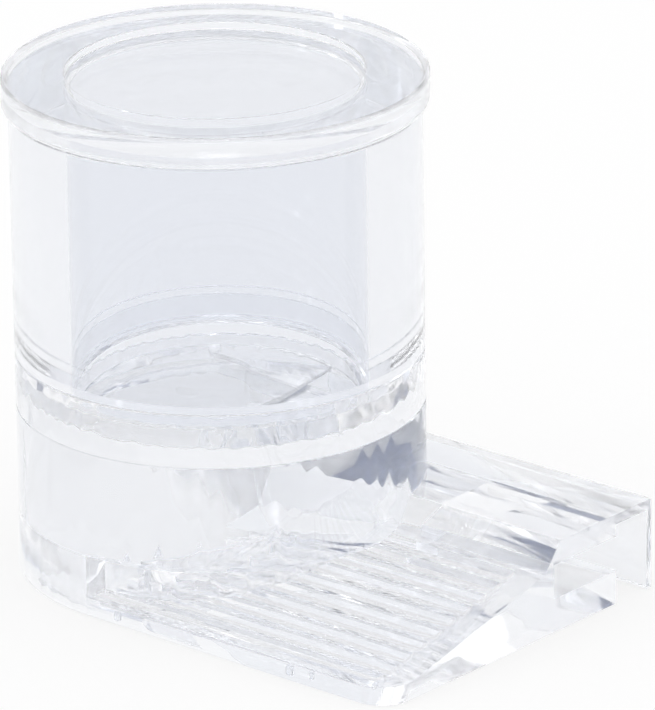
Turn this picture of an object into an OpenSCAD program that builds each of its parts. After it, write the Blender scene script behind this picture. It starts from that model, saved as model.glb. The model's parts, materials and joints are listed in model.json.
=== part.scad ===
// Small clear fount for insects: a closed water tank over a grooved drinking ramp.
// Origin: on the tank's axis, at floor level. +X runs along the ramp away from the
// tank, +Y towards the hanging lip, +Z up. Millimetres.

/* [Tank] */
// Outer diameter of the tank, the feed disc and the drum
tank_d = 28.2; // [26:0.2:34]
// Bore of the tank
tank_bore_d = 20.4; // [16:0.2:21]
// Height of the tank's wall above the feed disc's rim
tank_h = 17.4; // [10:0.2:30]
// Diameter of the turned-down spigot at the tank's foot
spigot_d = 23.4; // [23:0.1:25]
// How far the spigot goes into the feed disc
spigot_h = 1.6; // [1:0.1:1.6]

/* [Lid] */
// How far the lid's flange stands out past the tank's wall
flange_lap = 0.5; // [0.3:0.1:1.5]
// Thickness of the flange
flange_t = 2.3; // [2:0.1:4]
// Rounding of the flange's upper edge
upper_round = 0.4; // [0.2:0.05:0.8]
// Rounding of the flange's lower edge
lower_round = 0.6; // [0.2:0.05:0.8]
// Depth of the plug under the flange
plug_h = 1; // [0.8:0.1:3]
// Chamfer round the foot of the plug
plug_chamfer = 0.3; // [0.1:0.05:0.5]
// Diameter of the sunk disc on top of the lid
disc_d = 20.4; // [14:0.2:24]
// Depth of the sunk disc
disc_sink = 0.5; // [0.1:0.05:0.8]

/* [Feed disc] */
// Thickness of the tank's floor
feed_floor_t = 0.5; // [0.4:0.05:1]
// Depth of the seat that takes the tank's spigot
seat_depth = 1.7; // [1.7:0.1:2.6]
// Diameter of the well inside the seat
well_d = 20; // [14:0.2:20.4]
// Depth of the well
well_depth = 1.6; // [1:0.1:2]
// Width of the feed slot through the floor
feed_slot_w = 0.8; // [0.5:0.1:1.2]
// Length of the feed slot
feed_slot_l = 6; // [3:0.5:7]
// Distance of the feed slot's near end from the axis
feed_slot_x = 2.6; // [1:0.1:3]

/* [Drum] */
// Height of the drum's top over the floor
drum_top = 11.8; // [10:0.2:20]
// Height of the seam between the drum and the tray
seam_h = 4.3; // [4:0.1:4.6]
// Diameter of the round block over the ramp that the drum stands on
foot_d = 24.4; // [23:0.2:27]
// Gap between the drum and the ramp's upper end
film_gap = 0.4; // [0.3:0.05:0.8]
// Diameter of the shaft that takes the water down from the feed slot
shaft_d = 0.6; // [0.5:0.1:1.5]

/* [Tray] */
// Length of the tray from the tank's axis to its far end
tray_l = 26.7; // [22:0.1:40]
// Height of the ledge along the front edge
ledge_h = 1.3; // [1.1:0.1:1.6]
// Width of the ledge from front to back
ledge_w = 2.9; // [2:0.1:3.5]
// Rise of the ramp for each millimetre towards the back
ramp_slope = 0.234; // [0.2:0.002:0.26]
// Place of the ramp's back end behind the axis
ramp_back_y = 2.5; // [2:0.1:3]
// Place of the plateau's front edge behind the axis
plateau_y = 4.1; // [3.8:0.1:4.6]
// Height of the plateau
plateau_h = 6.5; // [6.2:0.1:8]
// Radius of the front corner at the far end, seen from above
front_corner_r = 2.4; // [1:0.1:2.8]
// Radius of the back corner at the far end, seen from above
back_corner_r = 0.3; // [0.2:0.1:2]
// Rounding along the plateau's back edge
lip_round = 0.25; // [0.2:0.05:0.8]

/* [Lip and panel slot] */
// Thickness of the hanging lip
lip_t = 0.7; // [0.5:0.05:1]
// Thickness of the panel that the lip hooks over
panel_t = 3; // [2:0.1:3.2]
// Clearance of the panel in its slot
panel_play = 0.3; // [0.1:0.05:0.5]
// Thickness of the web over the panel slot
web_t = 0.7; // [0.5:0.05:1]
// Thickness of the tongue under the side pocket
tongue_t = 2.4; // [2:0.1:2.8]
// Place of the side pocket's front wall behind the axis
pocket_y = 3.4; // [3:0.1:4]
// Height of the side pocket
pocket_h = 2.5; // [1.8:0.1:2.6]
// Length of the side pocket from the far end
pocket_l = 11.5; // [8:0.5:12]

/* [Grooves] */
// Number of drinking grooves across the ramp
groove_n = 10; // [6:1:10]
// Pitch of the grooves
groove_pitch = 1.52; // [1.3:0.02:1.54]
// Width of one groove
groove_w = 0.8; // [0.4:0.05:1]
// Depth of a groove in the ramp
groove_deep = 0.7; // [0.4:0.05:0.8]
// Place of the rearmost groove behind the axis
groove_back_y = 1.5; // [1:0.1:1.6]
// Land between the grooves' ends and the tray's far end
groove_land = 2.2; // [1:0.1:4]
// Start of the grooves beyond the tank's axis
groove_start_x = 0.4; // [0.2:0.1:2]
// Thickness left over the rearmost groove's tunnel
tunnel_roof = 0.4; // [0.3:0.05:0.6]

/* [Fits] */
// Radial clearance of the plug and the spigot
fit_play = 0.08; // [0.05:0.01:0.1]
// Gap left between faces that rest on each other
seat_gap = 0.04; // [0.02:0.01:0.08]

/* [Hidden] */
$fn = 96;
over = 1;
body_r = tank_d / 2;
disc_z = drum_top + seat_gap;
floor_z = disc_z + feed_floor_t;
seat_z = floor_z + well_depth;
rim_z = seat_z + seat_depth;
tank_foot_z = rim_z + seat_gap;
tank_top_z = tank_foot_z + tank_h;
lid_z = tank_top_z + seat_gap;
feed_x = feed_slot_x + shaft_d / 2;
channel_reach = foot_d / 2 - 1.4;
slot_w = panel_t + panel_play;
slot_back_y = body_r - lip_t;
slot_front_y = slot_back_y - slot_w;
slot_top_z = plateau_h - web_t;
ramp_front_y = ledge_w - body_r;
function ramp_z(y) = ledge_h + ramp_slope * max(0, y - ramp_front_y);
groove_ys = [for (i = [0 : groove_n - 1]) groove_back_y - i * groove_pitch];

// A cube given by its lowest and highest corners
module block(low, high) {
    translate(low) cube(high - low);
}

// Everything on the ramp's side of the tank's axis, below the profile given in Y and Z
module below(profile, from_x = 0) {
    translate([from_x, 0, 0]) rotate([90, 0, 90]) linear_extrude(tray_l - from_x) polygon(profile);
}

// Side outline of ledge, ramp and plateau, lifted by a gap in front of the plateau
function ramp_profile(gap, top_gap) = [
    [-body_r - over, -over], [-body_r - over, ledge_h + gap], [ramp_front_y, ledge_h + gap],
    [ramp_back_y, ramp_z(ramp_back_y) + gap], [plateau_y, plateau_h + top_gap],
    [body_r + over, plateau_h + top_gap], [body_r + over, -over]
];

module lid() {
    flange_r = body_r + flange_lap;
    plug_r = tank_bore_d / 2 - fit_play;
    color("aliceblue")
    difference() {
        union() {
            translate([0, 0, lid_z]) rotate_extrude() {
                translate([flange_r - lower_round, lower_round]) circle(r = lower_round);
                translate([flange_r - upper_round, flange_t - upper_round]) circle(r = upper_round);
                square([flange_r - lower_round, flange_t / 2]);
                translate([0, lower_round]) square([flange_r, flange_t - lower_round - upper_round]);
                translate([0, flange_t / 2]) square([flange_r - upper_round, flange_t / 2]);
            }
            translate([0, 0, lid_z - plug_h]) rotate_extrude() polygon([
                [0, 0], [plug_r - plug_chamfer, 0], [plug_r, plug_chamfer],
                [plug_r, plug_h + flange_t / 2], [0, plug_h + flange_t / 2]
            ]);
        }
        translate([0, 0, lid_z + flange_t - disc_sink]) cylinder(d = disc_d, h = disc_sink + over);
    }
}

module tank() {
    bore_r = tank_bore_d / 2;
    color("lightcyan")
    rotate_extrude() polygon([
        [bore_r, tank_foot_z - spigot_h], [spigot_d / 2, tank_foot_z - spigot_h],
        [spigot_d / 2, tank_foot_z], [body_r, tank_foot_z],
        [body_r, tank_top_z], [bore_r, tank_top_z]
    ]);
}

module feed_disc() {
    seat_r = spigot_d / 2 + fit_play;
    color("lavender")
    difference() {
        rotate_extrude() polygon([
            [0, disc_z], [body_r, disc_z], [body_r, rim_z], [seat_r, rim_z], [seat_r, seat_z],
            [well_d / 2, seat_z], [well_d / 2, floor_z], [0, floor_z]
        ]);
        block([feed_slot_x, -feed_slot_w / 2, disc_z - over],
              [feed_slot_x + feed_slot_l, feed_slot_w / 2, floor_z + over]);
    }
}

module drum() {
    color("azure")
    difference() {
        cylinder(r = body_r, h = drum_top);
        // flat underside on the tray's round block, and a bridge over the panel slot
        translate([0, 0, -over]) cylinder(r = body_r + over, h = seam_h + seat_gap + over);
        block([-body_r - over, slot_front_y, -over], [0, body_r + over, slot_top_z]);
        // clear of the ramp's upper end, with the rim on the plateau
        below(ramp_profile(film_gap, seat_gap));
        translate([feed_x, 0, 0]) cylinder(d = shaft_d, h = drum_top + over);
    }
}

// Footprint of the tray's right half, with its two corner radii
module right_footprint() {
    front_y = front_corner_r - body_r;
    back_y = body_r - back_corner_r;
    translate([0, front_y]) square([tray_l, back_y - front_y]);
    translate([0, -body_r]) square([tray_l - front_corner_r, 2 * front_corner_r]);
    translate([0, back_y - back_corner_r]) square([tray_l - back_corner_r, 2 * back_corner_r]);
    translate([tray_l - front_corner_r, front_y]) circle(r = front_corner_r);
    translate([tray_l - back_corner_r, back_y]) circle(r = back_corner_r);
}

module tray() {
    color("ghostwhite")
    difference() {
        union() {
            // round block under the drum, set back over the ramp
            intersection() {
                cylinder(r = body_r, h = seam_h);
                block([-body_r, -body_r, 0], [0, slot_front_y, seam_h]);
            }
            intersection() {
                cylinder(d = foot_d, h = seam_h);
                block([-over, -body_r, 0], [body_r, slot_front_y, seam_h]);
            }
            // ledge, ramp, plateau and lip
            intersection() {
                linear_extrude(plateau_h) right_footprint();
                below(ramp_profile(0, 0));
                rotate([90, 0, 90]) linear_extrude(tray_l) union() {
                    translate([-body_r, 0]) square([tank_d - lip_round, plateau_h]);
                    square([body_r, plateau_h - lip_round]);
                    translate([body_r - lip_round, plateau_h - lip_round]) circle(r = lip_round);
                }
            }
        }
        // drinking grooves, whose floors follow the ramp and which start as tunnels in the block
        for (y = groove_ys) difference() {
            block([groove_start_x, y - groove_w / 2, ramp_z(y) - groove_deep],
                  [tray_l - groove_land, y + groove_w / 2, plateau_h + over]);
            translate([0, 0, min(ramp_z(y), seam_h - tunnel_roof)]) cylinder(d = foot_d, h = plateau_h);
        }
        // channel under the shaft that shares the water out
        block([feed_x - shaft_d / 2, -channel_reach, ledge_h - groove_deep],
              [feed_x + shaft_d / 2, groove_back_y + groove_w / 2, seam_h + over]);
        // slot for the panel's edge, and the pocket beside it
        block([-over, slot_front_y, -over], [tray_l + over, slot_back_y, slot_top_z]);
        block([tray_l - pocket_l, pocket_y, tongue_t],
              [tray_l + over, slot_front_y + over, tongue_t + pocket_h]);
    }
}

lid();
tank();
feed_disc();
drum();
tray();
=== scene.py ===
"""A small clear water fount: a lidded tank over a grooved drinking ramp, moulded in clear plastic.

Every piece is the same clear, polished moulding, so the look rests on refraction: each solid has
its real thickness, its real hollow, and softly rounded edges that catch the light.
"""

import json
import math

import bpy
import numpy as np
from mathutils import Matrix, Vector
from mathutils.bvhtree import BVHTree

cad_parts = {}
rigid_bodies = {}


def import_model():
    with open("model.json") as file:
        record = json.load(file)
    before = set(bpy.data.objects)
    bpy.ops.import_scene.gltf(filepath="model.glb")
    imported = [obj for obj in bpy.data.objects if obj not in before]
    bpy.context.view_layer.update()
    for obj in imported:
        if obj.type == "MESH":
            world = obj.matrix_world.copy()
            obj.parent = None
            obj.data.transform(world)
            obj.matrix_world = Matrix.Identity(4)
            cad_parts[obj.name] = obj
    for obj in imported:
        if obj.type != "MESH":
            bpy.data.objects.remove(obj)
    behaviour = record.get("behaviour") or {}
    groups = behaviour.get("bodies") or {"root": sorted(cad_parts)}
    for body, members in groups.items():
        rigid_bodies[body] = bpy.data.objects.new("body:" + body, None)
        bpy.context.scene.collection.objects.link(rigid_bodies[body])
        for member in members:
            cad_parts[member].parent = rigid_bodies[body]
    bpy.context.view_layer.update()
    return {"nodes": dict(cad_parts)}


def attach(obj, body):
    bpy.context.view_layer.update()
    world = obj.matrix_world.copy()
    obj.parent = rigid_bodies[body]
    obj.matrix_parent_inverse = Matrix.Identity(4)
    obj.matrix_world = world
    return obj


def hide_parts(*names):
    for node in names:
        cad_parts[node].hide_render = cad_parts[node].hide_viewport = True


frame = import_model()
MM = 0.001


# ---------------------------------------------------------------- camera
# A long lens from above the ramp's far corner, as in the photo. The values come from the
# outlines, the rings round the tank and the tray's straight edges.
W, H = 655, 710
L = max(W, H)
SENSOR = 36.0
CAMERA_AZIMUTH, CAMERA_ELEVATION, CAMERA_ROLL = 40.951, 20.54, -0.815
CAMERA_DISTANCE = 0.60424
CAMERA_LENS = 414.26
CAMERA_AIM = Vector((-0.021252, 0.035714, -0.000683))


def camera_axes(azimuth, elevation, roll):
    """Right, up and back of a camera at azimuth and elevation, turned by roll about its view."""
    a, e, r = (math.radians(v) for v in (azimuth, elevation, roll))
    back = Vector((math.sin(a) * math.cos(e), -math.cos(a) * math.cos(e), math.sin(e)))
    right = Vector((math.cos(a), math.sin(a), 0.0))
    up = back.cross(right)
    return right * math.cos(r) + up * math.sin(r), up * math.cos(r) - right * math.sin(r), back


cam_data = bpy.data.cameras.new("camera")
cam_data.sensor_fit = "AUTO"
cam_data.sensor_width = SENSOR
cam_data.lens = CAMERA_LENS
cam_data.clip_start, cam_data.clip_end = 0.01, 10.0
camera = bpy.data.objects.new("camera", cam_data)
bpy.context.scene.collection.objects.link(camera)
cam_right, cam_up, cam_back = camera_axes(CAMERA_AZIMUTH, CAMERA_ELEVATION, CAMERA_ROLL)
cam_turn = Matrix((cam_right, cam_up, cam_back)).transposed()
camera.matrix_world = Matrix.Translation(CAMERA_AIM + cam_back * CAMERA_DISTANCE) @ cam_turn.to_4x4()
bpy.context.scene.camera = camera

# Where things show in the photo, in its own pixels: the outline's extremes, then features.
IMAGE_POINTS = {
    "left_x": 2.0,
    "right_x": 653.5,
    "top_y": 2.5,
    "bottom_y": 707.5,
    "tank_seam_left": (18.0, 352.0),
    "tank_seam_right": (423.0, 352.0),
    "drum_seam_left": (35.0, 427.0),
    "tray_seam_left": (50.0, 535.0),
    "window_corner": (85.0, 556.5),
    "plateau_back_corner": (649.0, 493.0),
    "lip_foot": (652.5, 586.0),
    "tongue_foot": (614.5, 603.5),
    "ramp_end_front": (415.0, 680.0),
    "pocket_corner": (552.5, 599.0),
}


def pixel_ray(x, y):
    """The ray through image point x, y: start and direction in the world."""
    local = Vector((
        x - W / 2 + cam_data.shift_x * L,
        H / 2 - y + cam_data.shift_y * L,
        -L * cam_data.lens / cam_data.sensor_width,
    ))
    return camera.matrix_world.translation, (cam_turn @ local).normalized()


def place_at(tree, x, y):
    """Where the ray through image point x, y meets a BVHTree, or the tree's place nearest the ray."""
    start, direction = pixel_ray(x, y)
    place, normal, _, _ = tree.ray_cast(start, direction)
    if place is None:
        along = direction * (CAMERA_DISTANCE - 0.02)
        place, normal, _, _ = tree.find_nearest(start + along)
    return place, normal


def shown_at(points):
    """Image x and y of an array of world points."""
    rel = np.asarray(points, float).reshape(-1, 3) - np.array(camera.matrix_world.translation)
    x, y, z = (rel @ np.array(axis) for axis in (cam_right, cam_up, cam_back))
    k = L * cam_data.lens / cam_data.sensor_width
    return np.stack([W / 2 + k * x / -z - cam_data.shift_x * L, H / 2 - k * y / -z + cam_data.shift_y * L], 1)


# ---------------------------------------------------------------- lid
# Wide-rimmed lid pressed into the tank's mouth by a short plug. Clear moulded plastic; the
# sunk disc on its top has a finely frosted face, where the mould was blasted.
class Shade:
    """A shader socket with operators: an expression on sockets and numbers adds its Math nodes."""

    def __init__(self, tree, socket):
        self.tree, self.socket = tree, socket

    def node(self, kind, settings=None, inputs=None, out=0):
        """Adds a node of a kind, with its settings, then its inputs' values or links."""
        made = self.tree.nodes.new(kind)
        for name, value in (settings or {}).items():
            setattr(made, name, value)
        for key, value in (inputs or {}).items():
            if isinstance(value, Shade):
                self.tree.links.new(value.socket, made.inputs[key])
            else:
                made.inputs[key].default_value = value
        return Shade(self.tree, made.outputs[out]) if made.outputs else None

    def _math(self, operation, *values, clamp=False):
        settings = {"operation": operation, "use_clamp": clamp}
        return self.node("ShaderNodeMath", settings, dict(enumerate(values)))

    def __add__(self, other):
        return self._math("ADD", self, other)

    def __sub__(self, other):
        return self._math("SUBTRACT", self, other)

    def __mul__(self, other):
        return self._math("MULTIPLY", self, other)

    def __truediv__(self, other):
        return self._math("DIVIDE", self, other)

    def __pow__(self, other):
        return self._math("POWER", self, other)

    def __rsub__(self, other):
        return self._math("SUBTRACT", other, self)

    __radd__, __rmul__ = __add__, __mul__

    def step(self, edge, width):
        """0 below edge and 1 above it, over a soft width."""
        return self._math("ADD", (self - edge) / width, 0.5, clamp=True)

    def larger(self, other):
        """The larger of this value and another."""
        return self._math("MAXIMUM", self, other)

    def blend(self, low, high):
        """Colour between low and high by this mask."""
        low, high = (c if isinstance(c, Shade) else (*c, 1) for c in (low, high))
        return self.node("ShaderNodeMix", {"data_type": "RGBA"}, {0: self, 6: low, 7: high}, out=2)


PLASTIC_INDEX = 1.49
PLASTIC_PALE, PLASTIC_DEEP = (0.905, 0.917, 0.945), (0.893, 0.906, 0.937)
# A little of each face lets light straight through, or light trapped in the tray goes black.
PLASTIC_ALPHA, BOND_ALPHA = 0.982, 0.05
BOND_R, BOND_HALF, BOND_FADE = 13.9, 0.035, 0.01
SHAFT_X, SHAFT_CLEAR, SHAFT_FADE = 2.9, 0.38, 0.1


def at_height(z, height):
    """1 within a few hundredths of a millimetre of a bond line's height, and 0 elsewhere."""
    off = (z - height * MM) * (z - height * MM)
    return 1 - off.step((BOND_HALF * MM) ** 2, (BOND_FADE * MM) ** 2)


def clear_plastic(name, frosted=None, bonded=(), polish=0.012, depth=1.0):
    """Clear polished plastic with a cool tint, a faint mould ripple and fine scuffs.

    frosted takes object x, y, z and returns a mask of faces that are blasted, not polished.
    bonded lists heights in mm where cement of the plastic's own index joins it to the next
    piece, so light goes straight across. It does so round the fine shaft too, which the photo
    doesn't show. polish is the roughness between scuffs, and depth raises the tint, which is
    deeper in a thick solid than in a thin wall.
    """
    made = bpy.data.materials.new(name)
    made.use_nodes = True
    tree = made.node_tree
    shader = tree.nodes["Principled BSDF"]
    shader.inputs["Transmission Weight"].default_value = 1.0
    shader.inputs["IOR"].default_value = PLASTIC_INDEX
    shader.inputs["Alpha"].default_value = PLASTIC_ALPHA
    start = Shade(tree, None)
    place = start.node("ShaderNodeTexCoord", out="Object")
    x, y, z = (place.node("ShaderNodeSeparateXYZ", inputs={0: place}, out=k) for k in range(3))
    cloud = place.node("ShaderNodeTexNoise", inputs={"Vector": place, "Scale": 90.0, "Detail": 2.0})
    scuff = place.node("ShaderNodeTexNoise", inputs={"Vector": place, "Scale": 900.0, "Detail": 4.0})
    deep, pale = (tuple(c ** depth for c in colour) for colour in (PLASTIC_DEEP, PLASTIC_PALE))
    tint = cloud.step(0.5, 0.5).blend(deep, pale)
    rough = scuff.step(0.62, 0.25) * 0.03 + polish
    if frosted:
        mask = frosted(x, y, z)
        rough = rough + mask * 0.14
    if bonded:
        film = sum((at_height(z, height) for height in bonded[1:]), at_height(z, bonded[0]))
        film = film * (1 - (x * x + y * y).step((BOND_R * MM) ** 2, 1e-7))
        aside = x - SHAFT_X * MM
        shaft = 1 - (aside * aside + y * y).step((SHAFT_CLEAR * MM) ** 2, (SHAFT_FADE * MM) ** 2)
        film = film.larger(shaft)
        clear = PLASTIC_ALPHA - film * (PLASTIC_ALPHA - BOND_ALPHA)
        tree.links.new(clear.socket, shader.inputs["Alpha"])
    ripple = cloud.node("ShaderNodeBump", inputs={"Strength": 0.02, "Distance": 0.0002, "Height": cloud})
    tree.links.new(tint.socket, shader.inputs["Base Color"])
    tree.links.new(rough.socket, shader.inputs["Roughness"])
    tree.links.new(ripple.socket, shader.inputs["Normal"])
    return made


def rounded(corners, closed, steps=4):
    """Points and outward normals of an outline, each corner (r, z, radius) an arc of steps chords.

    The outline runs counter-clockwise. An arc touches its two sides at radius * tan(turn / 2)
    from the corner, and its normals turn evenly from one side's to the other's.
    """
    pts, nrm = [], []
    for i, (r, z, radius) in enumerate(corners):
        here = np.array([r, z])
        before, after = (np.array(corners[j % len(corners)][:2]) for j in (i - 1, i + 1))
        into, out = (v / np.linalg.norm(v) for v in (here - before, after - here))
        n_in, n_out = (np.array([v[1], -v[0]]) for v in (into, out))
        if not closed and i in (0, len(corners) - 1):
            pts.append(here)
            nrm.append(n_in if i else n_out)
            continue
        turn = math.atan2(into[0] * out[1] - into[1] * out[0], into @ out)
        side = math.copysign(1, turn)
        centre = here - into * radius * abs(math.tan(turn / 2)) - n_in * radius * side
        t = np.linspace(0, 1, steps + 1)[:, None]
        mixed = n_in * (1 - t) + n_out * t
        mixed /= np.linalg.norm(mixed, axis=1)[:, None]
        pts += list(centre + mixed * radius * side)
        nrm += list(mixed)
    return np.array(pts), np.array(nrm)


def lathe(name, corners, around=256, steps=4):
    """A solid of revolution about Z: a rounded outline's point (r, z) goes to (r cos a, r sin a, z).

    An outline that starts and ends on the axis closes there on single vertices.
    """
    closed = corners[0][0] > 0
    pts, nrm = rounded(corners, closed, steps)
    a = np.linspace(0, 2 * np.pi, around, endpoint=False)
    ring = np.stack([np.cos(a), np.sin(a)], 1)

    def swept(v):
        return np.concatenate([v[:, None, :1] * ring, np.repeat(v[:, None, 1:], around, 1)], 2)

    body = slice(None) if closed else slice(1, -1)
    co, no = (swept(v[body]).reshape(-1, 3) for v in (pts, nrm))
    rows = len(pts[body])
    grid = np.arange(rows * around).reshape(rows, around)
    low, high = (grid, np.roll(grid, -1, 0)) if closed else (grid[:-1], grid[1:])
    faces = np.stack([low, np.roll(low, -1, 1), np.roll(high, -1, 1), high], 2).reshape(-1, 4).tolist()
    if not closed:
        pole = rows * around
        co = np.concatenate([co, [[0, 0, pts[0, 1]], [0, 0, pts[-1, 1]]]])
        no = np.concatenate([no, [[0, 0, nrm[0, 1]], [0, 0, nrm[-1, 1]]]])
        faces += np.stack([np.full(around, pole), np.roll(grid[0], -1), grid[0]], 1).tolist()
        faces += np.stack([grid[-1], np.roll(grid[-1], -1), np.full(around, pole + 1)], 1).tolist()
    mesh = bpy.data.meshes.new(name)
    mesh.from_pydata(co * MM, [], faces)
    mesh.polygons.foreach_set("use_smooth", np.ones(len(faces), bool))
    mesh.normals_split_custom_set_from_vertices(no)
    piece = bpy.data.objects.new(name, mesh)
    bpy.context.scene.collection.objects.link(piece)
    return piece


LID_Z, FLANGE_R, FLANGE_T, PLUG_R, PLUG_H = 33.12, 14.6, 2.3, 10.12, 1.0
DISC_R, DISC_SINK = 10.2, 0.5
lid_top = LID_Z + FLANGE_T
lid = lathe("lid_moulding", [
    (0, LID_Z - PLUG_H, 0),
    (PLUG_R, LID_Z - PLUG_H, 0.3),
    (PLUG_R, LID_Z, 0.1),
    (FLANGE_R, LID_Z, 0.6),
    (FLANGE_R, lid_top, 0.3),
    (DISC_R, lid_top, 0.15),
    (DISC_R, lid_top - DISC_SINK, 0.12),
    (0, lid_top - DISC_SINK, 0),
])


def blasted(x, y, z):
    """Mask of the sunk disc on the lid's top."""
    inside = 1 - (x * x + y * y).step((DISC_R - 0.1) ** 2 * 1e-6, 2e-6)
    return inside * z.step(0.0340, 0.0002)


lid.data.materials.append(clear_plastic("clear_lid", frosted=blasted))
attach(lid, "lid")
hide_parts("lid")


# ---------------------------------------------------------------- tank
# Thick-walled clear tube, moulded and polished. Its spigot stands in the feed disc's seat,
# and its bore takes the lid's plug.
TANK_R, BORE_R, TANK_FOOT, TANK_TOP = 14.1, 10.2, 15.68, 33.08
SPIGOT_R, SPIGOT_H = 11.7, 1.6
tank = lathe("tank_tube", [
    (BORE_R, TANK_FOOT - SPIGOT_H, 0.12),
    (SPIGOT_R, TANK_FOOT - SPIGOT_H, 0.2),
    (SPIGOT_R, TANK_FOOT, 0.08),
    (TANK_R, TANK_FOOT, 0.15),
    (TANK_R, TANK_TOP, 0.15),
    (BORE_R, TANK_TOP, 0.12),
])
tank.data.materials.append(clear_plastic("clear_tank", depth=1.15))
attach(tank, "tank")
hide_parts("tank")


# ---------------------------------------------------------------- feed disc, drum and tray
# The tank's floor, the solid drum and the tray with its ramp: three mouldings bonded in a
# stack. Their mould edges are rounded by about a tenth of a millimetre.
def softened(node, name, width=0.1, segments=2):
    """A merged copy of a CAD node with its edges rounded by width, for light to catch."""
    import bmesh

    mesh = frame["nodes"][node].data.copy()
    mesh.name = name
    work = bmesh.new()
    work.from_mesh(mesh)
    bmesh.ops.remove_doubles(work, verts=work.verts, dist=1e-6)
    bmesh.ops.dissolve_limit(work, angle_limit=math.radians(0.6), verts=work.verts, edges=work.edges)
    for f in work.faces:
        f.smooth = True
    for e in work.edges:
        e.smooth = not math.radians(10) < e.calc_face_angle(0) < math.radians(25)
    work.to_mesh(mesh)
    work.free()
    mesh.materials.clear()
    piece = bpy.data.objects.new(name, mesh)
    bpy.context.scene.collection.objects.link(piece)
    bevel = piece.modifiers.new("rounded edges", "BEVEL")
    bevel.width, bevel.segments = width * MM, segments
    bevel.limit_method, bevel.angle_limit = "ANGLE", math.radians(25)
    bevel.harden_normals = True
    bevel.use_clamp_overlap = True
    return piece


BONDS = (11.82, 4.32, 6.52)
BASE = (("feed_disc", 0.01, 0.5), ("drum", 0.01, 1.6), ("tray", 0.02, 0.75))
for node, polish, depth in BASE:
    piece = softened(node, node + "_moulding")
    piece.data.materials.append(clear_plastic("clear_" + node, bonded=BONDS, polish=polish, depth=depth))
    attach(piece, "base")
    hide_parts(node)


# ---------------------------------------------------------------- mould marks
# Small clear pips low on the tray's front face, where the photo shows bright marks with a dark
# side. They are taken for the stubs that a mould's gates leave.
GATE_DEEP = 0.2
GATE_MARKS = ((118.0, 616.0, 0.26, 0.32), (290.0, 670.0, 0.3, 0.36), (312.0, 675.0, 0.16, 0.3))


def pip(across, out, high, power=0.45, around=32, rows=17):
    """A rounded block about the origin, as points and faces.

    x = across c(u) c(v), y = out s(u) c(v), z = high s(v), where c and s are the cosine and
    sine with their size raised to power, u from 0 to 2 pi and v from -pi/2 to pi/2.
    """
    turn = np.linspace(0, 2 * np.pi, around, endpoint=False)
    u, v = np.meshgrid(turn, np.linspace(-np.pi / 2, np.pi / 2, rows))
    cu, su, cv, sv = (
        np.sign(wave(angle)) * abs(wave(angle)) ** power
        for angle in (u, v) for wave in (np.cos, np.sin)
    )
    pts = np.stack([across * cu * cv, out * su * cv, high * sv], 2).reshape(-1, 3)
    grid = np.arange(rows * around).reshape(rows, around)
    under, over = grid[:-1], grid[1:]
    corners = [under, np.roll(under, -1, 1), np.roll(over, -1, 1), over]
    faces = np.stack(corners, 2).reshape(-1, 4)
    return pts, faces


tray_mesh = frame["nodes"]["tray"]
tray_tree = BVHTree.FromPolygons(
    [tray_mesh.matrix_world @ v.co for v in tray_mesh.data.vertices],
    [tuple(f.vertices) for f in tray_mesh.data.polygons],
)
mark_pts, mark_faces = [], []
for x, y, across, high in GATE_MARKS:
    spot, _ = place_at(tray_tree, x, y)
    pts, faces = pip(across, GATE_DEEP, high)
    mark_faces.append(faces + sum(len(p) for p in mark_pts))
    mark_pts.append(pts * MM + np.array(spot))
marks_mesh = bpy.data.meshes.new("gate_marks")
marks_mesh.from_pydata(np.concatenate(mark_pts), [], np.concatenate(mark_faces).tolist())
marks_mesh.validate()
marks_mesh.polygons.foreach_set("use_smooth", np.ones(len(marks_mesh.polygons), bool))
gate_marks = bpy.data.objects.new("gate_marks", marks_mesh)
bpy.context.scene.collection.objects.link(gate_marks)
marks_mesh.materials.append(clear_plastic("clear_marks", polish=0.02, depth=0.75))
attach(gate_marks, "base")


# ---------------------------------------------------------------- stage and light
# Plain pale floor and a white room. The camera, the glosses and the rays through plastic all see
# the same plain white, and the floor keeps a share of its own light, so the shadow stays.
ROOM_LEVEL = 1.05
FLOOR_SHARE = 0.8


def seen(tree, lit, kind, share):
    """Mixes share of a white glow into a lit shader for camera, glossy and transmission rays."""
    start = Shade(tree, None)
    camera_ray, glossy_ray, through_ray = (
        start.node("ShaderNodeLightPath", out=k)
        for k in ("Is Camera Ray", "Is Glossy Ray", "Is Transmission Ray")
    )
    glow = start.node(kind, inputs={"Color": (1.0, 1.0, 1.0, 1), "Strength": 1.0})
    mask = camera_ray.larger(glossy_ray).larger(through_ray)
    return start.node("ShaderNodeMixShader", inputs={0: mask * share, 1: lit, 2: glow})


floor_mesh = bpy.data.meshes.new("floor")
floor_mesh.from_pydata([(-2, -2, -1e-4), (2, -2, -1e-4), (2, 2, -1e-4), (-2, 2, -1e-4)], [], [(0, 1, 2, 3)])
floor = bpy.data.objects.new("floor", floor_mesh)
bpy.context.scene.collection.objects.link(floor)
paper = bpy.data.materials.new("white_paper")
paper.use_nodes = True
paper.node_tree.nodes.clear()
begin = Shade(paper.node_tree, None)
matt = begin.node("ShaderNodeBsdfDiffuse", inputs={"Color": (0.9, 0.9, 0.9, 1)})
begin.node("ShaderNodeOutputMaterial", inputs={
    "Surface": seen(paper.node_tree, matt, "ShaderNodeEmission", FLOOR_SHARE),
})
floor_mesh.materials.append(paper)

room = bpy.data.worlds.new("room")
bpy.context.scene.world = room
room.use_nodes = True
room.node_tree.nodes.clear()
begin = Shade(room.node_tree, None)
lit = begin.node("ShaderNodeBackground", inputs={"Color": (1.0, 1.0, 1.0, 1), "Strength": ROOM_LEVEL})
around_it = seen(room.node_tree, lit, "ShaderNodeBackground", 1.0)
begin.node("ShaderNodeOutputWorld", inputs={"Surface": around_it})

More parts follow.
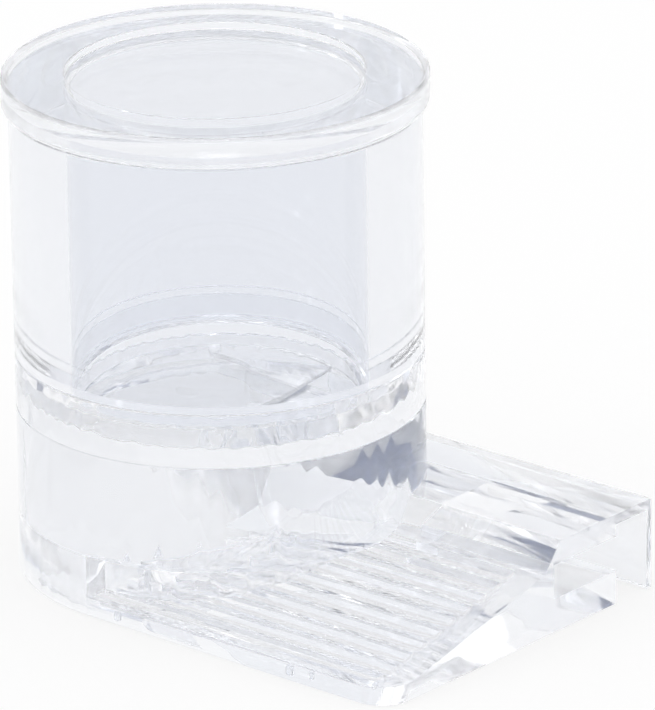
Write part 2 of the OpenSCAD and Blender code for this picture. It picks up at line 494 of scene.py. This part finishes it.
# White soft boxes round the object: one over the camera, a strip to the left and a panel on
# each side. Each row is a name, turn from the camera, height, distance, width, length, level.
LAMPS = (
    ("lamp_over", 0.0, 62.0, 0.35, 0.07, 0.025, 4.5),
    ("lamp_left", -72.0, 25.0, 0.35, 0.03, 0.2, 3.0),
    ("panel_left", -60.0, 15.0, 0.5, 0.4, 0.4, 0.2),
    ("panel_right", 60.0, 15.0, 0.5, 0.4, 0.4, 0.25),
)
for name, turn, height, away, wide, tall, level in LAMPS:
    light = bpy.data.lights.new(name, "AREA")
    light.shape, light.size, light.size_y = "RECTANGLE", wide, tall
    light.energy = level * math.pi * wide * tall
    lamp = bpy.data.objects.new(name, light)
    bpy.context.scene.collection.objects.link(lamp)
    right, up, back = camera_axes(CAMERA_AZIMUTH + turn, height, 0.0)
    aim = Matrix((right, up, back)).transposed().to_4x4()
    lamp.matrix_world = Matrix.Translation(Vector((0, 0, 0.016)) + back * away) @ aim

scene = bpy.context.scene
scene.view_settings.view_transform = "Standard"
BOUNCES = 96
scene.cycles.max_bounces = BOUNCES
scene.cycles.transmission_bounces = BOUNCES
scene.cycles.glossy_bounces = BOUNCES
scene.cycles.diffuse_bounces = 6
scene.cycles.transparent_max_bounces = BOUNCES


# ---------------------------------------------------------------- measuring
# Where the finished pieces show, and how far the seam rings fall from their image points.
def finished_vertices(*pieces):
    """World points of the pieces' finished meshes."""
    graph = bpy.context.evaluated_depsgraph_get()
    out = []
    for p in pieces:
        mesh = p.evaluated_get(graph).to_mesh()
        co = np.empty(len(mesh.vertices) * 3)
        mesh.vertices.foreach_get("co", co)
        out.append(co.reshape(-1, 3))
        p.evaluated_get(graph).to_mesh_clear()
    return np.concatenate(out)


moulded = [o for o in bpy.data.objects if o.name.endswith(("_moulding", "_tube"))]
everything = shown_at(finished_vertices(*moulded))
ring = np.linspace(0, 2 * np.pi, 721)
SEAMS = (
    ("tank_seam_left", 15.66), ("tank_seam_right", 15.66),
    ("drum_seam_left", 11.82), ("tray_seam_left", 4.32),
)
for name, z in SEAMS:
    seam = np.stack([TANK_R * np.cos(ring), TANK_R * np.sin(ring), 0 * ring + z], 1)
    curve = shown_at(seam * MM)
    gap = np.hypot(*(curve - np.array(IMAGE_POINTS[name])).T)
    (curve[gap.argmin()] - np.array(IMAGE_POINTS[name])).round(1).tolist()
